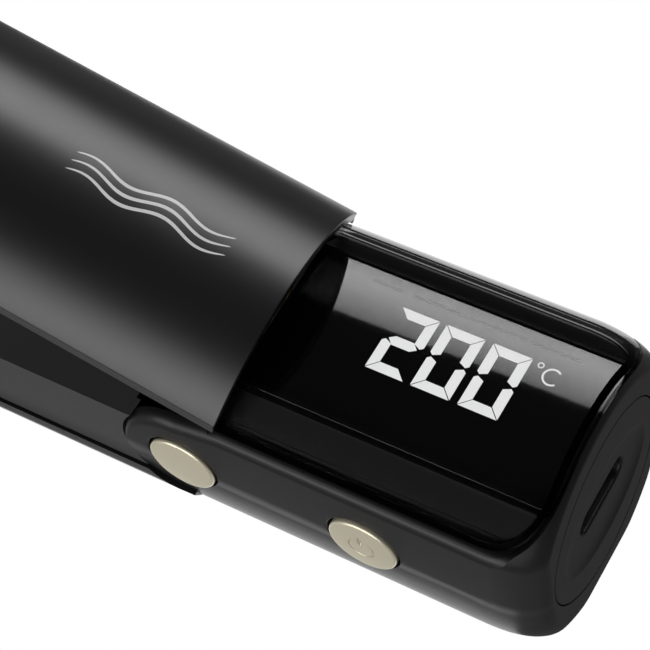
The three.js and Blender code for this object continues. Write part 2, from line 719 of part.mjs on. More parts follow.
addTo(handle, "lower_arm_shell", "arm_skin", lowerArmShell());
addTo(handle, "lower_arm_body", "arm_body", lowerArmBody());
addTo(handle, "lower_tip_cap", "housing", lowerTipCap());
ARM_SCREWS.forEach((x, i) => {
  addTo(handle, `arm_screw_${i + 1}`, "steel", screw(x, 0, REST_Z + 0.9, 3, true));
});
addTo(handle, "battery_cell", "cell", batteryCell());
SADDLES.forEach((x, i) => addTo(handle, `battery_saddle_${i + 1}`, "cradle", batterySaddle(x)));
addTo(handle, "lower_heater_lead", "lead", wire(LOWER_LEAD, LEAD_R, 48, 3));
addPlateSet(handle, "lower", LOWER_FACE, -1);

addTo(upperArm, "upper_arm_shell", "arm_skin", upperArmShell());
addTo(upperArm, "upper_arm_body", "arm_body", upperArmBody());
addTo(upperArm, "upper_tip_cap", "housing", upperTipCap());
addTo(upperArm, "hinge_bush_near", "brass", hingeBush(-1));
addTo(upperArm, "hinge_bush_far", "brass", hingeBush(1));
addTo(upperArm, "upper_heater_lead", "lead", wire(UPPER_LEAD, LEAD_R, 24, 3));
addPlateSet(upperArm, "upper", UPPER_FACE, 1);

export default styler;
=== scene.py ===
"""Looks of the cordless hair styler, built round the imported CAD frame.

Shapes are drawn in millimetres about the hinge axis, as part.mjs draws them, and placed in the
frame in metres by placed(). Pieces of the upper arm are drawn closed and turned open.
"""

import math

import bmesh
import bpy
import numpy as np
from mathutils import Matrix


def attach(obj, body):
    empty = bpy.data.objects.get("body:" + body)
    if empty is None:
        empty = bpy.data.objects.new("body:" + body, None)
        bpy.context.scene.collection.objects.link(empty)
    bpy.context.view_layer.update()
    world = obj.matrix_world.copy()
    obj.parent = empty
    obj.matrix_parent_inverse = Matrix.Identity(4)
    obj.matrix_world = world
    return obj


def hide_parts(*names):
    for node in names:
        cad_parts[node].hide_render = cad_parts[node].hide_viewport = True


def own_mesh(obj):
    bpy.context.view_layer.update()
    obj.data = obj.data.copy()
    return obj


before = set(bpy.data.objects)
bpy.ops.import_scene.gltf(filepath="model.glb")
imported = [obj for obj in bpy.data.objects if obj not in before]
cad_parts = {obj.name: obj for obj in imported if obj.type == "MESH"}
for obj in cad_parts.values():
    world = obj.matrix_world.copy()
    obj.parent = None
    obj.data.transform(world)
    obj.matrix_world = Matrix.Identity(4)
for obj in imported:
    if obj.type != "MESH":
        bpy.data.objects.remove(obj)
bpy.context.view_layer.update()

MM = 0.001
ORIGIN = np.array([79.5, 0.0, 15.5])
OPEN = math.radians(14)
FAR = 60.0

BARREL_R, BARREL_Z, HALF, FLOOR = 17.15, 1.08, 15.0, -15.5
END_X, TIP_X, ARM_X0 = 43.0, -202.0, -192.0
GAP = 0.3
WALL = 1.6
EAR_R, EAR_CLEAR = 7.7, 0.12
PIN_R, BOSS_R = 1.6, 5.6
SCREW_XS, SCREW_R, SCREW_HEAD_R = (3.2, 9.8), 1.3, 2.1  # the two screws that join the lower arm
LENS_X0, LENS_X1, LENS_Z, LENS_CORNER, LENS_T = 5.0, 42.2, 9.4, 5.1, 1.1
GLASS_TOP, GLASS_T = 12.88, 0.18
DISC_R, DISC_FACE, BUTTON_X = 4.04, 15.45, 22.45
DISC_ROOM, BUTTON_ROOM = 14.1, 11.8  # where the discs' wells end, from the middle
CAP_R, CAP_X0 = 11.6, 41.1
DISH_Z, DISH_SIZE = 1.0, (9.4, 7.0)
SLOT_Z, SLOT_HALF, SLOT_HIGH = 1.83, 4.92, 3.6
SHELL_R, SHELL_Z, SHELL_END, SHELL_T = 18.5, 2.45, 3.37, 1.1
LOWER_SEAM, LOWER_TOP, SKIN_T = -5.44, 5.2, 1.2
UPPER_SEAM, UPPER_BOTTOM = 13.22, 11.5
SHOULDER = 1.5
BODY_HALF, BODY_WALL = 14.65, 1.25
TIP_ALONG, TIP_INWARD = 7, 6
MARK_LIFT = 0.012


# ---- Mesh tools ---------------------------------------------------------------------------


def mesh_object(name, verts, faces):
    mesh = bpy.data.meshes.new(name)
    mesh.from_pydata([tuple(v) for v in verts], [], faces)
    mesh.validate()
    bm = bmesh.new()
    bm.from_mesh(mesh)
    bmesh.ops.recalc_face_normals(bm, faces=bm.faces)
    bm.to_mesh(mesh)
    bm.free()
    obj = bpy.data.objects.new(name, mesh)
    bpy.context.scene.collection.objects.link(obj)
    return obj


def loft(name, rings):
    """A closed solid through rings of points, with a flat face at each end."""
    rings = [np.asarray(r, float) for r in rings]
    n = len(rings[0])
    verts = np.concatenate(rings)
    faces = []
    for i in range(len(rings) - 1):
        a, b = i * n, (i + 1) * n
        faces += [(a + j, a + (j + 1) % n, b + (j + 1) % n, b + j) for j in range(n)]
    faces.append(tuple(range(n)))
    last = (len(rings) - 1) * n
    faces.append(tuple(last + j for j in range(n)))
    return mesh_object(name, verts, faces)


def turned(name, profile, axis, centre=(0, 0, 0), sides=96, scale=(1, 1)):
    """A solid of revolution. profile is [radius, height] pairs that start and end on the axis."""
    angles = np.arange(sides) / sides * 2 * math.pi
    u, v = np.cos(angles) * scale[0], np.sin(angles) * scale[1]
    verts, faces, starts = [], [], []
    for r, h in profile:
        starts.append(len(verts))
        points = [(0.0, 0.0, h)] if r == 0 else [(r * a, r * b, h) for a, b in zip(u, v)]
        verts += points
    for i in range(len(profile) - 1):
        a, b = starts[i], starts[i + 1]
        ra, rb = profile[i][0], profile[i + 1][0]
        for j in range(sides):
            k = (j + 1) % sides
            if ra == 0:
                faces.append((a, b + k, b + j))
            elif rb == 0:
                faces.append((a + j, a + k, b))
            else:
                faces.append((a + j, a + k, b + k, b + j))
    verts = np.array(verts)
    order = {"X": [2, 0, 1], "Y": [0, 2, 1], "Z": [0, 1, 2]}[axis]
    return mesh_object(name, verts[:, order] + np.array(centre), faces)


def prism(name, outline, axis, low, high):
    """A straight prism of an outline: [x, z] pairs across Y, [y, z] along X or [x, y] up Z."""
    at = {
        "X": lambda p, h: (h, p[0], p[1]),
        "Y": lambda p, h: (p[0], h, p[1]),
        "Z": lambda p, h: (p[0], p[1], h),
    }
    return loft(name, [[at[axis](p, h) for p in outline] for h in (low, high)])


def box(name, x0, x1, y0, y1, z0, z1):
    return prism(name, [(x0, y0), (x1, y0), (x1, y1), (x0, y1)], "Z", z0, z1)


def rod(name, radius, axis, centre, low, high, sides=64, lip=0.0, lip_at=None):
    """A round rod. With a lip it flares at height lip_at, so what it cuts has a rounded mouth."""
    profile = [(0, low), (radius, low)]
    if lip:
        side = 1 if high > low else -1
        for i in range(7):
            a = i / 6 * math.pi / 2
            profile.append((radius + lip * (1 - math.cos(a)), lip_at - side * lip * (1 - math.sin(a))))
        profile.append((radius + lip, high))
    else:
        profile.append((radius, high))
    profile.append((0, high))
    return turned(name, profile, axis, centre, sides)


def apply_modifiers(obj):
    bpy.context.view_layer.update()
    graph = bpy.context.evaluated_depsgraph_get()
    mesh = bpy.data.meshes.new_from_object(obj.evaluated_get(graph))
    obj.modifiers.clear()
    obj.data = mesh
    return obj


def combine(body, operation, *tools):
    for tool in tools:
        mod = body.modifiers.new("combine", "BOOLEAN")
        mod.operation = operation
        mod.solver = "MANIFOLD"
        mod.object = tool
        apply_modifiers(body)
        bpy.data.objects.remove(tool)
    return body


def cut(body, *tools):
    return combine(body, "DIFFERENCE", *tools)


def unite(body, *tools):
    return combine(body, "UNION", *tools)


def common(body, *tools):
    return combine(body, "INTERSECT", *tools)


def placed(obj, opened=False):
    """Moves a piece from hinge-axis millimetres to the frame's metres."""
    turn = Matrix.Rotation(OPEN, 4, "Y") if opened else Matrix.Identity(4)
    obj.data.transform(Matrix.Scale(MM, 4) @ Matrix.Translation(ORIGIN.tolist()) @ turn)
    return obj


def soften(obj, width=0.2, segments=3, angle=32, tidy=0.3):
    """Rounds every edge sharper than angle, by width millimetres, and shades the piece smooth."""
    bm = bmesh.new()
    bm.from_mesh(obj.data)
    bmesh.ops.remove_doubles(bm, verts=bm.verts, dist=0.002)
    bmesh.ops.dissolve_limit(bm, angle_limit=math.radians(tidy), verts=bm.verts, edges=bm.edges)
    bm.to_mesh(obj.data)
    bm.free()
    if width:
        mod = obj.modifiers.new("round", "BEVEL")
        mod.width = width
        mod.segments = segments
        mod.limit_method = "ANGLE"
        mod.angle_limit = math.radians(angle)
        mod.use_clamp_overlap = True
        mod.miter_outer = "MITER_ARC"
        mod.harden_normals = False
    obj.data.polygons.foreach_set("use_smooth", [True] * len(obj.data.polygons))
    weighted = obj.modifiers.new("normals", "WEIGHTED_NORMAL")
    weighted.keep_sharp = True
    weighted.weight = 80
    return apply_modifiers(obj)


def piece(obj, name, body, material, slot, replaces=(), opened=False, **rounding):
    """Finishes a piece: rounded, placed, named, given its finish and its body."""
    if rounding.pop("rounded", True):
        soften(obj, **rounding)
    placed(obj, opened)
    obj.name = name
    obj.data.name = name
    obj.data.materials.clear()
    obj.data.materials.append(material)
    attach(obj, body)
    if replaces:
        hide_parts(*replaces)
    return obj


# ---- Sections -----------------------------------------------------------------------------


def smooth_min(a, b, k):
    h = np.clip(0.5 + 0.5 * (b - a) / k, 0, 1)
    return b * (1 - h) + a * h - k * h * (1 - h)


def circle_points(cx, cy, r, start, stop, count):
    """Points on an arc, its angles in degrees."""
    turns = [math.radians(start + (stop - start) * i / (count - 1)) for i in range(count)]
    return [(cx + r * math.cos(a), cy + r * math.sin(a)) for a in turns]


def section_angles():
    corners = [29, 151, -29, -151, -75.2, -104.8]
    angles = list(np.arange(0, 360, 2.5) - 180)
    for c in corners:
        angles += list(c + np.arange(-4, 4.01, 0.5))
    return np.radians(np.unique(np.round(angles, 2)))


ANGLES = section_angles()


def barrel_ring(x, round_in=0.0, flat_in=0.0, inset=0.0, belly=0.0):
    """One ring of the handle's section, its round part and its flats drawn in separately.

    belly, from 0 to 1, softens the lower corners into one rounded side.
    """
    c, s = np.cos(ANGLES), np.sin(ANGLES)
    low = belly * np.clip((0.1 - s) / 0.3, 0, 1)
    soft = 0.35 + 3.65 * low
    r = np.full_like(c, BARREL_R - inset - round_in) + 0.37 * low
    flat = (HALF - inset - flat_in) / np.maximum(np.abs(c), 1e-3)
    r = smooth_min(r, flat, soft)
    floor = np.where(s < -0.05, (BARREL_Z - FLOOR - inset - flat_in) / np.maximum(-s, 0.05), 400)
    r = smooth_min(r, floor, 0.35)
    return np.stack([np.full_like(c, x), r * c, BARREL_Z + r * s], axis=1)


def rounding(x, end, along, inward):
    """How far a rounded edge that ends at x = end has drawn in at x."""
    t = 1 - min(abs(end - x) / along, 1)
    return inward * (1 - math.sqrt(max(0.0, 1 - t * t)))


ROUND_END = {"along": 8.0, "inward": 3.0}
FLAT_END = {"along": 5.5, "inward": 3.0}


def barrel(name, x0, x1, inset=0.0, belly=0.0):
    """A length of the handle, following the rounded charging end where it reaches it."""
    xs = [x0]
    for i in range(25):
        a = i / 24 * math.pi / 2
        xs.append(END_X - ROUND_END["along"] * (1 - math.sin(a)))
    xs = sorted(x for x in set(xs) if x0 <= x < x1 - 1e-6) + [x1]
    rings = []
    for x in xs:
        r = rounding(x, END_X, **ROUND_END)
        f = rounding(x, END_X, **FLAT_END)
        rings.append(barrel_ring(x, r, f, inset, belly))
    return loft(name, rings)


def lens_outline(grown):
    corner = (LENS_X1 - LENS_CORNER, LENS_Z + LENS_CORNER)
    r = LENS_CORNER + grown
    bend = circle_points(*corner, r, -90, 0, 25)
    return [(LENS_X0, LENS_Z - grown), *bend, (LENS_X1 + grown, FAR), (LENS_X0, FAR)]


def housing_outline(drawn):
    """The housing from the side: ears, shoulder under the dome and charging end.

    It is drawn in by drawn, which makes the rounded shoulder. Round the ear that fades to a tenth,
    so the ear's lower half stays nearly square.
    """
    bend = lens_outline(GAP + drawn)[1:-2]
    ear = [90 + 180 * i / 60 for i in range(61)]
    points = [(0, -FAR), (FAR, -FAR), (FAR, FAR), (LENS_X1 + GAP + drawn, FAR), *reversed(bend)]
    points += [(LENS_X0 + 1, LENS_Z - GAP - drawn), (LENS_X0, 8.8 - drawn)]
    for a in ear:
        fade = min(1, max(0, (a - 115) / 90))
        r = EAR_R - drawn * (1 - 0.9 * fade * fade * (3 - 2 * fade))
        points.append((r * math.cos(math.radians(a)), r * math.sin(math.radians(a))))
    return points


def slot_rings(half, high, z, mouth):
    """Rings of a round-ended slot along X. mouth is [x, amount grown] pairs."""
    rings = []
    for x, grown in mouth:
        r, middle = high / 2 + grown, half - high / 2
        outline = circle_points(middle, z, r, -90, 90, 17) + circle_points(-middle, z, r, 90, 270, 17)
        rings.append([(x, y, height) for y, height in outline])
    return rings


# ---- Finishes -----------------------------------------------------------------------------


def finish(slot, colour, roughness, metallic=0.0, grain=0.0, grain_size=0.25, vary=0.04, **sockets):
    """A moulded or machined finish: fine grain in bump, and slow variation in gloss and tone."""
    mat = bpy.data.materials.new(slot)
    mat.use_nodes = True
    nodes, links = mat.node_tree.nodes, mat.node_tree.links
    shader = nodes["Principled BSDF"]
    shader.inputs["Metallic"].default_value = metallic
    for key, value in sockets.items():
        shader.inputs[key.replace("_", " ")].default_value = value
    where = nodes.new("ShaderNodeTexCoord").outputs["Object"]

    def noise(size_mm, detail):
        node = nodes.new("ShaderNodeTexNoise")
        node.inputs["Scale"].default_value = 1 / (size_mm * MM)
        node.inputs["Detail"].default_value = detail
        links.new(where, node.inputs["Vector"])
        return node.outputs["Fac"]

    slow = noise(14, 3)
    tone = nodes.new("ShaderNodeMix")
    tone.data_type = "RGBA"
    tone.inputs["A"].default_value = (*[c * (1 - vary) for c in colour], 1)
    tone.inputs["B"].default_value = (*[min(1, c * (1 + vary)) for c in colour], 1)
    links.new(slow, tone.inputs["Factor"])
    links.new(tone.outputs["Result"], shader.inputs["Base Color"])
    gloss = nodes.new("ShaderNodeMapRange")
    gloss.inputs["To Min"].default_value = max(0, roughness - vary / 2)
    gloss.inputs["To Max"].default_value = min(1, roughness + vary / 2)
    links.new(noise(3, 4), gloss.inputs["Value"])
    links.new(gloss.outputs["Result"], shader.inputs["Roughness"])
    if grain:
        bump = nodes.new("ShaderNodeBump")
        bump.inputs["Strength"].default_value = 1
        bump.inputs["Distance"].default_value = grain * MM
        links.new(noise(grain_size, 2), bump.inputs["Height"])
        links.new(bump.outputs["Normal"], shader.inputs["Normal"])
    return mat


def grey(value):
    return (value, value, value * 1.01)


FINISH = {
    "housing_black": finish("housing_black", grey(0.008), 0.4, grain=0.0012, Specular_IOR_Level=0.35),
    "arm_skin_black": finish("arm_skin_black", grey(0.006), 0.33, grain=0.0008),
    "arm_body_black": finish("arm_body_black", grey(0.05), 0.42, grain=0.0012, Specular_IOR_Level=0.12),
    "bezel_black": finish("bezel_black", grey(0.0018), 0.4, vary=0.02, Specular_IOR_Level=0.1),
    "screen_glass": finish(
        "screen_glass", grey(0.0012), 0.02, vary=0.0, Coat_Weight=1.0, Coat_Roughness=0.02, IOR=1.8
    ),
    "champagne_gold": finish(
        "champagne_gold", (0.82, 0.755, 0.575), 0.36, metallic=0.55, grain=0.0006, grain_size=0.15
    ),
    "steel": finish("steel", (0.58, 0.58, 0.59), 0.28, metallic=1.0),
    "plate_coating": finish("plate_coating", (0.05, 0.045, 0.042), 0.22, metallic=0.5),
    "ceramic": finish("ceramic", (0.78, 0.75, 0.68), 0.6, grain=0.002),
    "silicone": finish("silicone", (0.32, 0.05, 0.02), 0.7, grain=0.002),
    "circuit_board": finish("circuit_board", (0.01, 0.09, 0.035), 0.4),
    "chip_black": finish("chip_black", grey(0.012), 0.5, grain=0.002),
    "cell_wrap": finish("cell_wrap", (0.03, 0.16, 0.28), 0.35),
    "cradle_foam": finish("cradle_foam", grey(0.03), 0.85, grain=0.03, grain_size=0.5),
    "bush_brass": finish("bush_brass", (0.6, 0.4, 0.12), 0.3, metallic=1.0),
    "lead_red": finish("lead_red", (0.4, 0.01, 0.01), 0.4),
}


def smoked():
    mat = finish("smoked_dome", grey(0.0012), 0.03, vary=0.0)
    shader = mat.node_tree.nodes["Principled BSDF"]
    shader.inputs["IOR"].default_value = 1.12
    nodes, links = mat.node_tree.nodes, mat.node_tree.links
    weight = nodes.new("ShaderNodeLayerWeight")
    weight.inputs["Blend"].default_value = 0.5
    alpha = nodes.new("ShaderNodeMapRange")
    alpha.inputs["From Min"].default_value = 0.35
    alpha.inputs["From Max"].default_value = 0.9
    alpha.inputs["To Min"].default_value = 0.16
    alpha.inputs["To Max"].default_value = 0.97
    links.new(weight.outputs["Facing"], alpha.inputs["Value"])
    links.new(alpha.outputs["Result"], shader.inputs["Alpha"])
    return mat


def lit(name, strength):
    mat = bpy.data.materials.new(name)
    mat.use_nodes = True
    nodes, links = mat.node_tree.nodes, mat.node_tree.links
    shader = nodes["Principled BSDF"]
    shader.inputs["Base Color"].default_value = (0.6, 0.6, 0.6, 1)
    shader.inputs["Roughness"].default_value = 0.5
    shader.inputs["Emission Strength"].default_value = strength
    wave = nodes.new("ShaderNodeTexWave")
    wave.inputs["Scale"].default_value = 1900
    wave.bands_direction = "DIAGONAL"
    where = nodes.new("ShaderNodeTexCoord").outputs["Object"]
    links.new(where, wave.inputs["Vector"])
    tone = nodes.new("ShaderNodeMix")
    tone.data_type = "RGBA"
    tone.inputs["A"].default_value = (0.86, 0.87, 0.88, 1)
    tone.inputs["B"].default_value = (1, 1, 1, 1)
    links.new(wave.outputs["Fac"], tone.inputs["Factor"])
    links.new(tone.outputs["Result"], shader.inputs["Emission Color"])
    return mat


FINISH["smoked_dome"] = smoked()
FINISH["lit_segments"] = lit("lit_segments", 0.72)
FINISH["rim_black"] = finish("rim_black", grey(0.0006), 0.6, vary=0.0, Specular_IOR_Level=0.0)
FINISH["printed_grey"] = finish("printed_grey", grey(0.55), 0.4)


# ---- Rear housing and display -------------------------------------------------------------


def make_housing():
    body = barrel("housing", -9, END_X, belly=1.0)
    body = cut(body, barrel("inner", -20, 41.4, WALL, 1.0))
    bulk = barrel("bulk", 6.2, 7.4, WALL / 2)
    bosses = [rod("boss", BOSS_R, "Y", (0, 0, 0), s * 12, s * 14) for s in (-1, 1)]
    body = unite(body, bulk, *bosses)
    pillow = []
    r = SHOULDER
    quarter = np.linspace(0, math.pi / 2, 10)
    ys = [(-FAR, r)] + [(-HALF + r * (1 - math.cos(a)), r * (1 - math.sin(a))) for a in quarter]
    for y, drawn in ys + [(-y, d) for y, d in reversed(ys)]:
        pillow.append([(x, y, z) for x, z in housing_outline(drawn)])
    body = common(body, loft("pillow", pillow))
    wells = []
    for x, side, deep in ((0, -1, DISC_ROOM), (0, 1, DISC_ROOM), (BUTTON_X, -1, BUTTON_ROOM)):
        wells.append(rod("well", DISC_R + GAP, "Y", (x, 0, 0), side * deep, side * 20, 96, 0.25, side * HALF))
    wells.append(rod("cap_hole", CAP_R + 0.1, "X", (0, 0, BARREL_Z), 40.4, 50, 160, 0.08, END_X))
    wells.append(rod("pin_hole", PIN_R, "Y", (0, 0, 0), -20, 20))
    for x in SCREW_XS:
        wells.append(rod("screw_hole", SCREW_R, "Z", (x, 0, 0), -17, -12))
        wells.append(rod("screw_head", SCREW_HEAD_R, "Z", (x, 0, 0), -14.5, -17))
    return cut(body, *wells)


def make_lens():
    dome = common(barrel("dome", LENS_X0, END_X), prism("p", lens_outline(0), "Y", -FAR, FAR))
    return cut(dome, barrel("inside", LENS_X0 - 1, END_X - 0.2, LENS_T))


RIM = {"clear": 0.35, "width": 1.0, "deep": 0.45}


def make_rim():
    """The black border that shows through the dome's edge, all round it."""
    outer, inner = lens_outline(-RIM["clear"]), lens_outline(-RIM["width"])
    band = common(barrel("band", LENS_X0, END_X, RIM["deep"]), prism("p", outer, "Y", -FAR, FAR))
    hole = [(LENS_X0 - 1, LENS_Z + RIM["width"]), *inner[1:-1], (LENS_X0 - 1, FAR)]
    band = cut(band, prism("hole", hole, "Y", -FAR, FAR))
    return cut(band, barrel("inside", LENS_X0 - 1, END_X - 0.1, LENS_T - RIM["deep"]))


def make_bezel():
    slope = [(9.9, 12.25), (10.15, 12.0), (12.6, 10.1)]
    ledge = [(12.75, 10.2), (13.0, 9.95), (12.9, 9.75), (14.6, 9.35), (14.6, 9.15)]
    half = slope + ledge
    outline = [(-y, z) for y, z in reversed(half)] + half
    tray = prism("tray", outline, "X", LENS_X0 + GAP, LENS_X1 - 0.1)
    tray = common(tray, barrel("room", LENS_X0, END_X, LENS_T + 0.12))
    return cut(tray, box("well", 7.2, 41.6, -9.6, 9.6, 11.2, 14))


def make_end_cap():
    r, x0, x1, e = CAP_R, CAP_X0, END_X, 0.2
    edge = circle_points(r - e, x1 - e, e, 0, 90, 6)
    plug = turned("plug", [(0, x0), (r, x0), *edge, (0, x1)], "X", (0, 0, BARREL_Z), 192)
    floor = [(0, -0.42), (0.35, -0.42), (0.6, -0.41), (0.72, -0.385), (0.8, -0.345)]
    side = [(0.87, -0.27), (0.93, -0.16), (0.97, -0.07), (1, 0), (1.05, 0.12)]
    dish = turned("dish", [*floor, *side, (1.1, 2), (0, 2)], "X", (END_X, 0, DISH_Z), 192, DISH_SIZE)
    mouth = [(36, -0.15), (42.25, -0.15), (42.45, -0.08), (42.6, 0.12), (46, 0.5)]
    return cut(plug, dish, loft("slot", slot_rings(SLOT_HALF, SLOT_HIGH, SLOT_Z, mouth)))


def digit_segments(x, y, which):
    """Polygons of a seven-segment digit whose lower left corner is at (x, y)."""
    w, h, t, g = 4.5, 8.1, 1.14, 0.07
    m = h / 2
    shapes = {
        "a": [(g, h), (w - g, h), (w - t - g, h - t), (t + g, h - t)],
        "d": [(t + g, t), (w - t - g, t), (w - g, 0), (g, 0)],
        "f": [(0, h - g), (t, h - t - g), (t, m + 0.5), (0.35, m + 0.12), (0, m + 0.4)],
        "b": [(w, h - g), (w, m + 0.4), (w - 0.35, m + 0.12), (w - t, m + 0.5), (w - t, h - t - g)],
        "e": [(0, g), (0, m - 0.4), (0.35, m - 0.12), (t, m - 0.5), (t, t + g)],
        "c": [(w, g), (w - t, t + g), (w - t, m - 0.5), (w - 0.35, m - 0.12), (w, m - 0.4)],
        "g": [
            (0.55, m + 0.1), (t + g, m + t / 2), (w - t - g, m + t / 2),
            (w - 0.55, m - 0.1), (w - t - g, m - t / 2), (t + g, m - t / 2),
        ],
    }
    return [[(x + a, y + b) for a, b in shapes[s]] for s in which]


def ring_shape(cx, cy, r, width, start, stop, steps=40):
    outer = circle_points(cx, cy, r + width / 2, start, stop, steps)
    inner = circle_points(cx, cy, r - width / 2, stop, start, steps)
    return outer + inner


def plates(name, shapes, z0, z1):
    """Thin solids standing on a flat face, all in one object."""
    verts, faces = [], []
    for shape in shapes:
        n, base = len(shape), len(verts)
        verts += [(x, y, z0) for x, y in shape] + [(x, y, z1) for x, y in shape]
        faces += [(base + i, base + (i + 1) % n, base + n + (i + 1) % n, base + n + i) for i in range(n)]
        faces += [tuple(base + i for i in range(n)), tuple(base + n + i for i in range(n))]
    return mesh_object(name, verts, faces)


def build_rear():
    piece(make_housing(), "rear_housing_finished", "handle", FINISH["housing_black"], "housing_black",
          ["rear_housing"], width=0.14, segments=2)
    piece(make_lens(), "display_lens_finished", "handle", FINISH["smoked_dome"], "smoked_dome",
          ["display_lens"], width=0.25, segments=4)
    piece(make_bezel(), "display_bezel_finished", "handle", FINISH["bezel_black"], "bezel_black",
          ["display_bezel"], width=0.12, segments=2)
    piece(make_rim(), "display_bezel_rim", "handle", FINISH["rim_black"], "bezel_black", width=0)
    glass = box("glass", 6.7, 41.7, -9.4, 8.95, GLASS_TOP - GLASS_T, GLASS_TOP)
    piece(glass, "display_glass_finished", "handle", FINISH["screen_glass"], "screen_glass",
          ["display_glass"], width=0.05, segments=2)
    shapes = digit_segments(17.17, -2.3, "abged")
    shapes += digit_segments(22.45, -2.3, "abcdef")
    shapes += digit_segments(27.87, -2.3, "abcdef")
    shapes.append(ring_shape(33.43, 5.45, 0.29, 0.13, 0, 359, 28))
    shapes.append(ring_shape(35.05, 4.6, 0.95, 0.2, 48, 312, 36))
    piece(plates("digits", shapes, GLASS_TOP + 0.005, GLASS_TOP + 0.03), "display_digits", "handle",
          FINISH["lit_segments"], "lit_segments", rounded=False)
    lines = []
    for x0, x1 in ((12.9, 16.2), (17.4, 37.2)):
        for y in (7.42, 7.66):
            lines.append([(x0, y), (x1, y), (x1, y + 0.07), (x0, y + 0.07)])
    piece(plates("scale", lines, GLASS_TOP + 0.005, GLASS_TOP + 0.02), "display_scale_lines", "handle",
          FINISH["printed_grey"], "lit_segments", rounded=False)
    piece(make_end_cap(), "charge_end_cap_finished", "handle", FINISH["housing_black"], "housing_black",
          ["charge_end_cap"], width=0.22, segments=3, angle=28)


def gold_disc(name, x, side, back, engraved=False):
    e, dome = 0.35, 0.12
    rim = DISC_R - e
    edge = circle_points(rim, DISC_FACE - dome - e, e, 0, 90, 8)
    crown = [(r, DISC_FACE - dome * (r / rim) ** 2) for r in np.linspace(rim, 0, 10)[1:-1]]
    profile = [(0, back), (DISC_R, back), *edge, *crown, (0, DISC_FACE)]
    disc = turned(name, [(r, side * h) for r, h in profile], "Y", (x, 0, 0), 128)
    if engraved:
        mark = ring_shape(x, -0.1, 1.45, 0.26, 120, 420, 48)
        bar = [(x - 0.13, 0.55), (x + 0.13, 0.55), (x + 0.13, 1.75), (x - 0.13, 1.75)]
        y = side * (DISC_FACE - 0.24)
        for shape in (mark, bar):
            cut(disc, prism("mark", shape, "Y", y, side * (DISC_FACE + 1)))
    return disc


def build_discs():
    gold = FINISH["champagne_gold"]
    for node, side in (("hinge_cap_near", -1), ("hinge_cap_far", 1)):
        piece(gold_disc("cap", 0, side, 14.4), node + "_finished", "handle", gold, "champagne_gold",
              [node], width=0)
    piece(gold_disc("button", BUTTON_X, -1, 12.2, True), "power_button_finished", "power_button", gold,
          "champagne_gold", ["power_button"], width=0)


# ---- Arms ---------------------------------------------------------------------------------


def build_arms():
    skin, black = FINISH["arm_skin_black"], FINISH["housing_black"]

    def shell_ring(x):
        z = UPPER_SEAM - SHELL_Z
        a0, a1 = math.asin(z / SHELL_R), math.asin(z / (SHELL_R - SHELL_T))
        outer = [(SHELL_R, a) for a in np.linspace(a0, math.pi - a0, 121)]
        back = [(SHELL_R - SHELL_T, a) for a in np.linspace(math.pi - a1, a1, 121)]
        return [(x, r * math.cos(a), SHELL_Z + r * math.sin(a)) for r, a in outer + back]

    shell = loft("upper_shell", [shell_ring(ARM_X0), shell_ring(SHELL_END)])
    piece(shell, "upper_arm_shell_finished", "upper_arm", skin, "arm_skin_black", ["upper_arm_shell"], True,
          width=0.22, segments=3)

    low = barrel("lower_shell", ARM_X0, -GAP)
    low = cut(low, barrel("inside", ARM_X0 - 1, 2, SKIN_T), box("top", -300, 30, -30, 30, LOWER_SEAM, 60),
              rod("ear", EAR_R + EAR_CLEAR, "Y", (0, 0, 0), -FAR, FAR, 128))
    piece(low, "lower_arm_shell_finished", "handle", skin, "arm_skin_black", ["lower_arm_shell"], width=0.2)

    def tip_run(section):
        xs = [TIP_X + TIP_ALONG * (1 - math.cos(a)) for a in np.linspace(0, math.pi / 2, 16)]
        return [section(x, rounding(x, TIP_X, TIP_ALONG, TIP_INWARD)) for x in [*xs, ARM_X0 - GAP]]

    nose = loft("nose", tip_run(lambda x, d: barrel_ring(x, d, d)))
    nose = common(nose, box("half", -300, 0, -40, 40, -40, LOWER_TOP))
    nose = unite(nose, box("guard", TIP_X + 2.5, ARM_X0 - GAP, -9, 9, LOWER_TOP - 1, 7.5))
    piece(nose, "lower_tip_cap_finished", "handle", black, "housing_black", ["lower_tip_cap"], width=0.5)

    def upper_ring(x, d):
        a = np.radians(np.arange(0, 360, 2.5))
        r = smooth_min(np.full_like(a, SHELL_R - d), (HALF - d) / np.maximum(np.abs(np.cos(a)), 1e-3), 0.35)
        return np.stack([np.full_like(a, x), r * np.cos(a), SHELL_Z + r * np.sin(a)], axis=1)

    nose = common(loft("nose", tip_run(upper_ring)), box("half", -300, 0, -40, 40, UPPER_BOTTOM, 60))
    nose = unite(nose, box("guard", TIP_X + 2.5, ARM_X0 - GAP, -9, 9, 9.15, UPPER_BOTTOM + 1))
    piece(nose, "upper_tip_cap_finished", "upper_arm", black, "housing_black", ["upper_tip_cap"], True,
          width=0.5)


